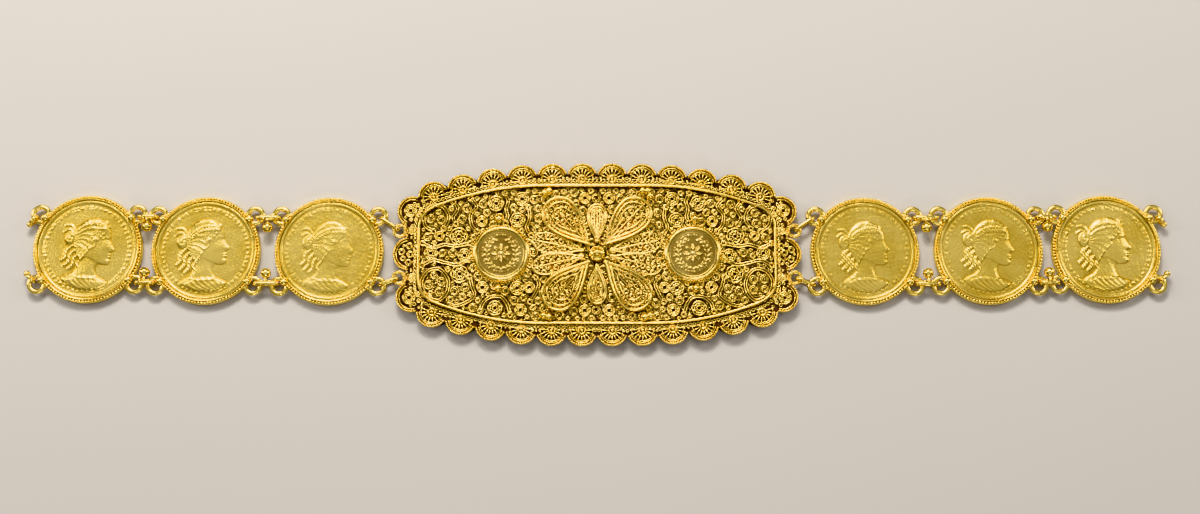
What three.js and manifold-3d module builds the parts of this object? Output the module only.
// Coin belt laid flat: a filigree buckle plaque with three framed coins linked to each side.
// Millimetres, +X along the belt, +Y across it, +Z up, resting on z = 0, origin under the plaque.
import * as THREE from 'three';
import { mergeVertices } from 'three/addons/utils/BufferGeometryUtils.js';
import Module from 'manifold-3d';

const wasm = await Module();
wasm.setup();

// Driving dimensions
const SEAM = 0.3; // between a piece and what it is soldered to or held by
const SLIVER = 0.01; // faces thinner than this are merged away after a join
const LEVEL = 2.45; // height of every ring's and eye's mid-plane

// Framed coins: distance along the belt, and how far the belt bows up there
const COINS = [
  { place: 'inner', x: 108.2, y: 1.3 },
  { place: 'middle', x: 158.0, y: 1.5 },
  { place: 'outer', x: 205.7, y: 2.1 },
];
const COIN = { radius: 19.9, bottom: 1.1, top: 2.9, sides: 24 };
const BEZEL = { outer: 22.1, mouth: 20.2, ledge: 18.8, ledgeTop: 0.8, bevel: 0.6, beadTop: 2.5, top: 3.5 };

// Corner rings of a framed coin, oval in section
const RING = { x: 19.6, y: 14.3, radius: 2.95, halfWidth: 0.6, halfHeight: 0.8, sides: 11 };

// Links. "inset" is how far the link lies from the ring's centre towards the belt's middle line,
// "play" the free length beyond the ring at each end, "bore" the inner radius of the round ends.
const LINK = { wire: 0.55, bore: 1.3, inset: 1.3, play: 0.25 };
const BALL = { radius: 2.15, offset: 3.1, lift: 1.2, neck: 0.6, neckLength: 2.2, neckLift: 1.75 };
const JUMP = { wire: 0.5, bore: 1.3 };
const END_RING = { wire: 0.5, radius: 2.1, slip: 0.5, lift: 0.2, grain: 1.15 };
const WIRE_SIDES = 6;
const TURN_STEPS = 5; // in each half circle of a link

// Plaque
const BARREL = { halfLength: 71.9, halfHeight: 28.1, flat: 22, shoulder: 7.4, drop: 8.1, corner: 11, side: 18.1 };
const SHEET = { bottom: 1.85, top: 3.05 };
const STRIP = { width: 1.6, inset: 0.8 };
const RIM = { width: 1.15, height: 0.8 };
const FRAME_WIRE = { radius: 0.65, steps: 52 };
const LOBE_STEPS = 5;
const LOBES = [
  { x: 6.05, y: 30.5, radius: 6.15 },
  { x: 18.15, y: 30.4, radius: 6.15 },
  { x: 30.25, y: 29.9, radius: 6.15 },
  { x: 42.35, y: 28.4, radius: 6.15 },
  { x: 54.4, y: 26.1, radius: 6.15 },
  { x: 66.0, y: 23.2, radius: 6.15 },
  { x: 74.4, y: 17.4, radius: 6.15 },
  { x: 75.2, y: 9.6, radius: 3.0 },
  { x: 75.3, y: 0, radius: 6.9 },
];
const EYE = { x: 79.7, y: 9.6, hole: 1.5, radius: 3.1, sides: 14 };

// What stands on the plaque
const SIDE_COIN = { x: 38.6, radius: 9.0, outer: 11.6, mouth: 9.3, ledge: 8.2, sides: 22 };
const BOSS = { foot: 3.3, ring: 2.8, ball: 1.6 };
const PETALS = [
  { kind: 'petal', angle: 47, start: 4.4, length: 29.0, halfWidth: 7.6, rim: 1.5, rise: 1.4 },
  { kind: 'leaf', angle: 12.5, start: 5.2, length: 26.8, halfWidth: 4.1, rim: 0.9, rise: 0.9 },
];
const SPEAR = { start: 4.4, length: 20.5, halfWidth: 3.9, rim: 1.1, rise: 1.3 };
const WIDEST = 0.72; // where along its length a petal is widest
const GRAIN = 1.4;
const CLUSTERS = [
  { name: 'left_upper', grains: [[-21.4, 24.8], [-19.4, 25.7]] },
  { name: 'right_upper', grains: [[18.4, 25.7], [20.6, 25.6], [21.6, 23.6]] },
  { name: 'left_lower', grains: [[-21.3, -25.2], [-19.2, -25.7]] },
  { name: 'right_lower', grains: [[19.2, -25.8], [21.3, -25.2]] },
];
const SINGLE = { x: 39.6, y: 14.2 };

const SIDES = [{ name: 'left', sign: -1 }, { name: 'right', sign: 1 }];
const ROWS = [{ name: 'upper', sign: 1 }, { name: 'lower', sign: -1 }];

// Materials
const finish = (name, color, roughness) =>
  new THREE.MeshStandardMaterial({ name, color, roughness, metalness: 1 });
const BRIGHT = ['bright_gold', 0xe0b040, 0.25];
const COIN_FACE = ['coin_gold', 0xd2ab3a, 0.38];
const FILIGREE = ['filigree_gold', 0xdba93a, 0.35];
const OLD_COIN = ['old_coin_gold', 0xa88a3c, 0.42];

const belt = new THREE.Group();

function signedVolume(geometry) {
  const p = geometry.attributes.position;
  const corner = [0, 1, 2].map(() => new THREE.Vector3());
  let six = 0;
  for (let i = 0; i < geometry.index.count; i += 3) {
    corner.forEach((c, k) => c.fromBufferAttribute(p, geometry.index.getX(i + k)));
    six += corner[0].dot(corner[1].clone().cross(corner[2]));
  }
  return six / 6;
}

// One closed skin with shared vertices and its faces pointing out
function closed(geometry) {
  const bare = geometry.clone();
  bare.deleteAttribute('normal');
  bare.deleteAttribute('uv');
  const skin = mergeVertices(bare, 1e-4);
  const kept = [];
  for (let i = 0; i < skin.index.count; i += 3) {
    const [a, b, c] = [0, 1, 2].map((k) => skin.index.getX(i + k));
    if (a !== b && b !== c && c !== a) kept.push(a, b, c);
  }
  skin.setIndex(kept);
  if (signedVolume(skin) < 0) skin.setIndex(kept.reverse());
  return skin;
}

function toSolid(geometry) {
  const skin = closed(geometry);
  return new wasm.Manifold(new wasm.Mesh({
    numProp: 3,
    vertProperties: new Float32Array(skin.attributes.position.array),
    triVerts: new Uint32Array(skin.index.array),
  }));
}

// A joined solid as a mesh, without the sliver faces that a join can leave
function toGeometry(solid) {
  const mesh = solid.simplify(SLIVER).getMesh();
  const geometry = new THREE.BufferGeometry();
  geometry.setAttribute('position', new THREE.BufferAttribute(mesh.vertProperties, 3));
  geometry.setIndex(new THREE.BufferAttribute(mesh.triVerts, 1));
  return geometry;
}

const union = (geometries) => geometries.map(toSolid).reduce((a, b) => a.add(b));
const join = (...geometries) => toGeometry(union(geometries));

function piece(name, geometry, [slot, color, roughness], x = 0, y = 0, z = 0) {
  const mesh = new THREE.Mesh(closed(geometry), finish(slot, color, roughness));
  mesh.name = name;
  mesh.position.set(x, y, z);
  belt.add(mesh);
}

// A ring or cup turned about Z from a list of [radius, height]
function turned(profile, sides) {
  const points = profile.map(([r, z]) => new THREE.Vector2(r, z));
  return new THREE.LatheGeometry(points, sides).rotateX(Math.PI / 2);
}

function disc(radius, bottom, top, sides, x = 0, y = 0) {
  return new THREE.CylinderGeometry(radius, radius, top - bottom, sides)
    .rotateX(Math.PI / 2)
    .translate(x, y, (bottom + top) / 2);
}

const ball = (radius, x, y, z, around = 8, down = 5) =>
  new THREE.SphereGeometry(radius, around, down).rotateX(Math.PI / 2).translate(x, y, z);

// Centre line of an upright link: two half circles, and two straight runs if half, the half length, isn't 0
class OvalLoop extends THREE.Curve {
  constructor(middle, along, half, radius) {
    super();
    Object.assign(this, { middle, along, half, radius });
    this.straight = half > 0 ? 1 : 0;
    this.steps = 2 * (this.straight + TURN_STEPS);
  }

  static between(from, to, play, radius) {
    const middle = from.clone().add(to).multiplyScalar(0.5);
    const along = to.clone().sub(from);
    const half = along.length() / 2 + play;
    return new OvalLoop(middle, along.normalize(), half, radius);
  }

  getUtoTmapping(u) {
    return u;
  }

  getPoint(t) {
    let step = (t % 1) * this.steps;
    const back = step >= this.steps / 2;
    if (back) step -= this.steps / 2;
    const run = this.straight ? Math.min(step, 1) : 1;
    const angle = Math.max(0, step - this.straight) / TURN_STEPS * Math.PI;
    let across = (2 * run - 1) * this.half + this.radius * Math.sin(angle);
    let up = this.radius * Math.cos(angle);
    if (back) [across, up] = [-across, -up];
    return this.middle.clone().addScaledVector(this.along, across).add(new THREE.Vector3(0, 0, up));
  }
}

const wireLoop = (curve, wire) => new THREE.TubeGeometry(curve, curve.steps, wire, WIRE_SIDES, true);

// The frame of a coin, with its four corner rings
function coinBezel() {
  const b = BEZEL;
  const wall = turned([
    [b.ledge, 0], [b.outer - b.bevel, 0], [b.outer, b.bevel], [b.outer, b.beadTop],
    [b.mouth + b.bevel, b.top], [b.mouth, b.top], [b.mouth, b.ledgeTop], [b.ledge, b.ledgeTop], [b.ledge, 0],
  ], COIN.sides);
  const oval = [];
  for (let k = 0; k <= 6; k += 1) {
    const a = (k / 6) * 2 * Math.PI;
    oval.push([RING.radius + RING.halfWidth * Math.cos(a), RING.halfHeight * Math.sin(a)]);
  }
  oval[6] = oval[0];
  const rings = SIDES.flatMap((side) => ROWS.map((row) => {
    return turned(oval, RING.sides).translate(side.sign * RING.x, row.sign * RING.y, LEVEL);
  }));
  return join(wall, ...rings);
}

// A link between two coins: from and to are where it crosses their rings
function ballLink(from, to, inward) {
  const loop = OvalLoop.between(from, to, LINK.play, LINK.bore + LINK.wire);
  const { x, y } = loop.middle;
  const bulb = ball(BALL.radius, x, y + inward * BALL.offset, LEVEL + BALL.lift);
  const neck = new THREE.CylinderGeometry(BALL.neck, BALL.neck, BALL.neckLength, WIRE_SIDES)
    .translate(x, y + inward * BALL.neckLength / 2, LEVEL + BALL.neckLift);
  return join(wireLoop(loop, LINK.wire), neck, bulb);
}

const jumpLink = (from, to) => wireLoop(OvalLoop.between(from, to, 0, JUMP.bore + JUMP.wire), JUMP.wire);

// The loose ring on an end coin, upright and pointing out and inward from its corner ring
function endRing(cx, cy, sx, sy) {
  const e = END_RING;
  const out = new THREE.Vector3(sx * Math.SQRT1_2, -sy * Math.SQRT1_2, 0);
  const centre = new THREE.Vector3(cx, cy, LEVEL + e.lift).addScaledVector(out, RING.radius + e.slip);
  const tip = centre.clone().addScaledVector(out, e.radius + 0.4);
  const loop = wireLoop(new OvalLoop(centre, out, 0, e.radius), e.wire);
  return join(loop, ball(e.grain, tip.x, tip.y, tip.z));
}

for (const side of SIDES) {
  COINS.forEach((coin, i) => {
    const x = side.sign * coin.x;
    piece(`${side.name}_${coin.place}_bezel`, coinBezel(), BRIGHT, x, coin.y);
    piece(`${side.name}_${coin.place}_coin`, disc(COIN.radius, COIN.bottom, COIN.top, COIN.sides), COIN_FACE, x, coin.y);
    for (const row of ROWS) {
      const ringY = coin.y + row.sign * RING.y;
      const name = `${side.name}_${coin.place}_${row.name}`;
      if (i === 0) {
        const ring = new THREE.Vector3(x - side.sign * RING.x, ringY, LEVEL);
        const eye = new THREE.Vector3(side.sign * EYE.x, row.sign * EYE.y, LEVEL);
        const way = eye.clone().sub(ring).normalize();
        const from = ring.clone().addScaledVector(way, RING.radius);
        const to = eye.clone().addScaledVector(way, -(EYE.hole + EYE.radius) / 2);
        piece(`${side.name}_plaque_${row.name}_link`, jumpLink(from, to), BRIGHT);
      }
      if (i < COINS.length - 1) {
        const next = COINS[i + 1];
        const y = (coin.y + next.y) / 2 + row.sign * (RING.y - LINK.inset);
        const reach = RING.x + Math.sqrt(RING.radius ** 2 - LINK.inset ** 2);
        const from = new THREE.Vector3(side.sign * (coin.x + reach), y, LEVEL);
        const to = new THREE.Vector3(side.sign * (next.x - reach), y, LEVEL);
        piece(`${name}_link`, ballLink(from, to, -row.sign), BRIGHT);
      } else {
        piece(`${name}_end_ring`, endRing(x + side.sign * RING.x, ringY, side.sign, row.sign), BRIGHT);
      }
    }
  });
}

// Plaque outline: a barrel with a flat top, long sloping shoulders and rounded corners
function barrel(grow = 0) {
  const b = BARREL;
  const w = b.halfLength + grow;
  const h = b.halfHeight + grow;
  const corners = [[b.flat, h], [w - b.shoulder, h - b.drop], [w, h - b.corner], [w, h - b.side]];
  const shape = new THREE.Path();
  shape.moveTo(-b.flat, h);
  const bend = (sx, sy, outward) => {
    const order = outward ? corners : [...corners].reverse();
    const [start, shoulder, corner, end] = order.map(([px, py]) => [sx * px, sy * py]);
    shape.lineTo(...start);
    const hip = (b.flat + w - b.shoulder) / 2;
    if (outward) {
      shape.quadraticCurveTo(sx * hip, sy * h, ...shoulder);
      shape.quadraticCurveTo(...corner, ...end);
    } else {
      shape.quadraticCurveTo(...shoulder, ...corner);
      shape.quadraticCurveTo(sx * hip, sy * h, ...end);
    }
  };
  bend(1, 1, true);
  bend(1, -1, false);
  bend(-1, -1, true);
  bend(-1, 1, false);
  return shape;
}

function slab(outline, bottom, top, holes = []) {
  const shape = new THREE.Shape(outline);
  shape.holes.push(...holes.map((points) => new THREE.Path([...points].reverse())));
  return new THREE.ExtrudeGeometry(shape, { depth: top - bottom, bevelEnabled: false }).translate(0, 0, bottom);
}

const barrelPoints = (grow) => {
  const points = barrel(grow).getPoints(6);
  const distinct = points.filter((p, i) => i === 0 || p.distanceTo(points[i - 1]) > 0.01);
  if (distinct[0].distanceTo(distinct.at(-1)) < 0.01) distinct.pop();
  return distinct;
};

// Every lobe once, anticlockwise from the one at the right end of the middle line
const quarter = [...LOBES].reverse();
const lobes = [
  ...quarter,
  ...LOBES.map((lobe) => ({ ...lobe, x: -lobe.x })),
  ...quarter.slice(1).map((lobe) => ({ ...lobe, x: -lobe.x, y: -lobe.y })),
  ...LOBES.slice(0, -1).map((lobe) => ({ ...lobe, y: -lobe.y })),
];
const eyes = SIDES.flatMap((side) => ROWS.map((row) => [side.sign * EYE.x, row.sign * EYE.y]));

// Where two neighbouring lobes' circles cross on the outside
function notch(a, b) {
  const [dx, dy] = [b.x - a.x, b.y - a.y];
  const apart = Math.hypot(dx, dy);
  const along = (apart ** 2 + a.radius ** 2 - b.radius ** 2) / (2 * apart);
  const out = Math.sqrt(a.radius ** 2 - along ** 2);
  return [a.x + (dx * along + dy * out) / apart, a.y + (dy * along - dx * out) / apart];
}

// The scalloped outline, or the line that runs a little inside it
function scallops(inset) {
  return lobes.flatMap((lobe, i) => {
    const before = lobes[(i + lobes.length - 1) % lobes.length];
    const after = lobes[(i + 1) % lobes.length];
    const [first, last] = [notch(before, lobe), notch(lobe, after)];
    const begin = Math.atan2(first[1] - lobe.y, first[0] - lobe.x);
    let sweep = Math.atan2(last[1] - lobe.y, last[0] - lobe.x) - begin;
    if (sweep < 0) sweep += 2 * Math.PI;
    const steps = inset > 0 ? LOBE_STEPS + 1 : LOBE_STEPS;
    return Array.from({ length: steps }, (_, k) => {
      const a = begin + (sweep * k) / LOBE_STEPS;
      const r = lobe.radius - inset;
      return new THREE.Vector2(lobe.x + r * Math.cos(a), lobe.y + r * Math.sin(a));
    });
  });
}

function plaqueSheet() {
  const { bottom, top } = SHEET;
  const sheet = union([
    slab(scallops(0), bottom, top),
    ...eyes.map(([x, y]) => disc(EYE.radius, bottom, top, EYE.sides, x, y)),
  ]);
  const holes = union(eyes.map(([x, y]) => disc(EYE.hole, bottom - 1, top + 1, EYE.sides, x, y)));
  return toGeometry(sheet.subtract(holes));
}

class BarrelCurve extends THREE.Curve {
  constructor(z) {
    super();
    this.steps = FRAME_WIRE.steps;
    this.outline = barrel(0);
    this.outline.closePath();
    this.z = z;
  }

  getPoint(t) {
    const p = this.outline.getPointAt(t % 1);
    return new THREE.Vector3(p.x, p.y, this.z);
  }
}

// A teardrop along +X: a raised rim round a dished middle, rising towards its root
function teardrop({ start, length, halfWidth, rim, rise }, bottom) {
  const around = 14;
  const outline = [];
  for (let k = 0; k < around; k += 1) {
    const a = (k / around) * 2 * Math.PI;
    const t = (1 - Math.cos(a)) / 2;
    const w = t > WIDEST
      ? Math.sqrt(Math.max(0, 1 - ((t - WIDEST) / (1 - WIDEST)) ** 2))
      : Math.sin((Math.PI / 2) * (t / WIDEST)) ** 1.1;
    outline.push({ t, x: start + (length - start) * t, y: Math.sign(Math.sin(a)) * Math.max(w, 0.12) * halfWidth });
  }
  outline[0].y = 0;
  outline[around / 2].y = 0;
  const centre = start + (length - start) * 0.6;
  const levels = [
    { inset: 0, z: () => bottom },
    { inset: 0, z: (t) => bottom + rim * 0.6 + rise * (1 - t) },
    { inset: 0.1, z: (t) => bottom + rim + rise * (1 - t) },
    { inset: 0.26, z: (t) => bottom + rim * 0.6 + rise * (1 - t) * 0.8 },
  ];
  const positions = [];
  for (const { inset, z } of levels) {
    for (const p of outline) positions.push(centre + (p.x - centre) * (1 - inset), p.y * (1 - inset), z(p.t));
  }
  const low = positions.length / 3;
  positions.push(centre, 0, bottom, centre, 0, bottom + rim + rise * 0.4);
  const index = [];
  for (let k = 0; k < around; k += 1) {
    const n = (k + 1) % around;
    index.push(low, n, k);
    for (let ring = 0; ring < levels.length - 1; ring += 1) {
      const [a, b] = [ring * around + k, ring * around + n];
      index.push(a, b, b + around, a, b + around, a + around);
    }
    const last = (levels.length - 1) * around;
    index.push(last + k, last + n, low + 1);
  }
  const geometry = new THREE.BufferGeometry();
  geometry.setAttribute('position', new THREE.Float32BufferAttribute(positions, 3));
  geometry.setIndex(index);
  return geometry;
}

const onSheet = SHEET.top + SEAM;

piece('plaque_sheet', plaqueSheet(), FILIGREE);
piece('plaque_back_strip', slab(
  barrelPoints(-STRIP.inset), 0, SHEET.bottom - SEAM, [barrelPoints(-STRIP.inset - STRIP.width)],
), FILIGREE);
piece('plaque_scallop_rim', slab(scallops(0), onSheet, onSheet + RIM.height, [scallops(RIM.width)]), FILIGREE);
piece('plaque_frame_wire', wireLoop(new BarrelCurve(onSheet + FRAME_WIRE.radius), FRAME_WIRE.radius), FILIGREE);

for (const side of SIDES) {
  const s = SIDE_COIN;
  const foot = onSheet;
  const bezel = turned([
    [s.ledge, foot], [s.outer, foot], [s.outer - 0.4, foot + 1.2], [s.mouth + 0.9, foot + 1.7],
    [s.mouth, foot + 1.7], [s.mouth, foot + 0.5], [s.ledge, foot + 0.5], [s.ledge, foot],
  ], s.sides);
  piece(`${side.name}_small_bezel`, bezel, FILIGREE, side.sign * s.x);
  piece(`${side.name}_small_coin`, disc(s.radius, foot + 0.8, foot + 1.3, s.sides), OLD_COIN, side.sign * s.x);
  for (const row of ROWS) {
    for (const petal of PETALS) {
      const angle = Math.atan2(row.sign * Math.sin(petal.angle * Math.PI / 180), side.sign * Math.cos(petal.angle * Math.PI / 180));
      const form = teardrop(petal, onSheet).rotateZ(angle);
      piece(`${side.name}_${row.name}_${petal.kind}`, form, FILIGREE);
    }
    piece(`${side.name}_${row.name}_grain`, ball(GRAIN, 0, 0, GRAIN), BRIGHT, side.sign * SINGLE.x, row.sign * SINGLE.y, onSheet);
  }
}
for (const row of ROWS) {
  piece(`${row.name}_spear`, teardrop(SPEAR, onSheet).rotateZ(row.sign * Math.PI / 2), FILIGREE);
}

const bossFoot = turned([
  [0, onSheet], [BOSS.foot, onSheet], [BOSS.foot, onSheet + 1.2], [BOSS.ring, onSheet + 2.4], [0, onSheet + 2.6],
], 16);
piece('flower_boss', join(bossFoot, ball(BOSS.ball, 0, 0, onSheet + 3.2, 10, 8)), BRIGHT);

for (const cluster of CLUSTERS) {
  const grains = cluster.grains.map(([x, y]) => ball(GRAIN, x, y, onSheet + GRAIN));
  piece(`${cluster.name}_grains`, join(...grains), BRIGHT);
}

export default belt;
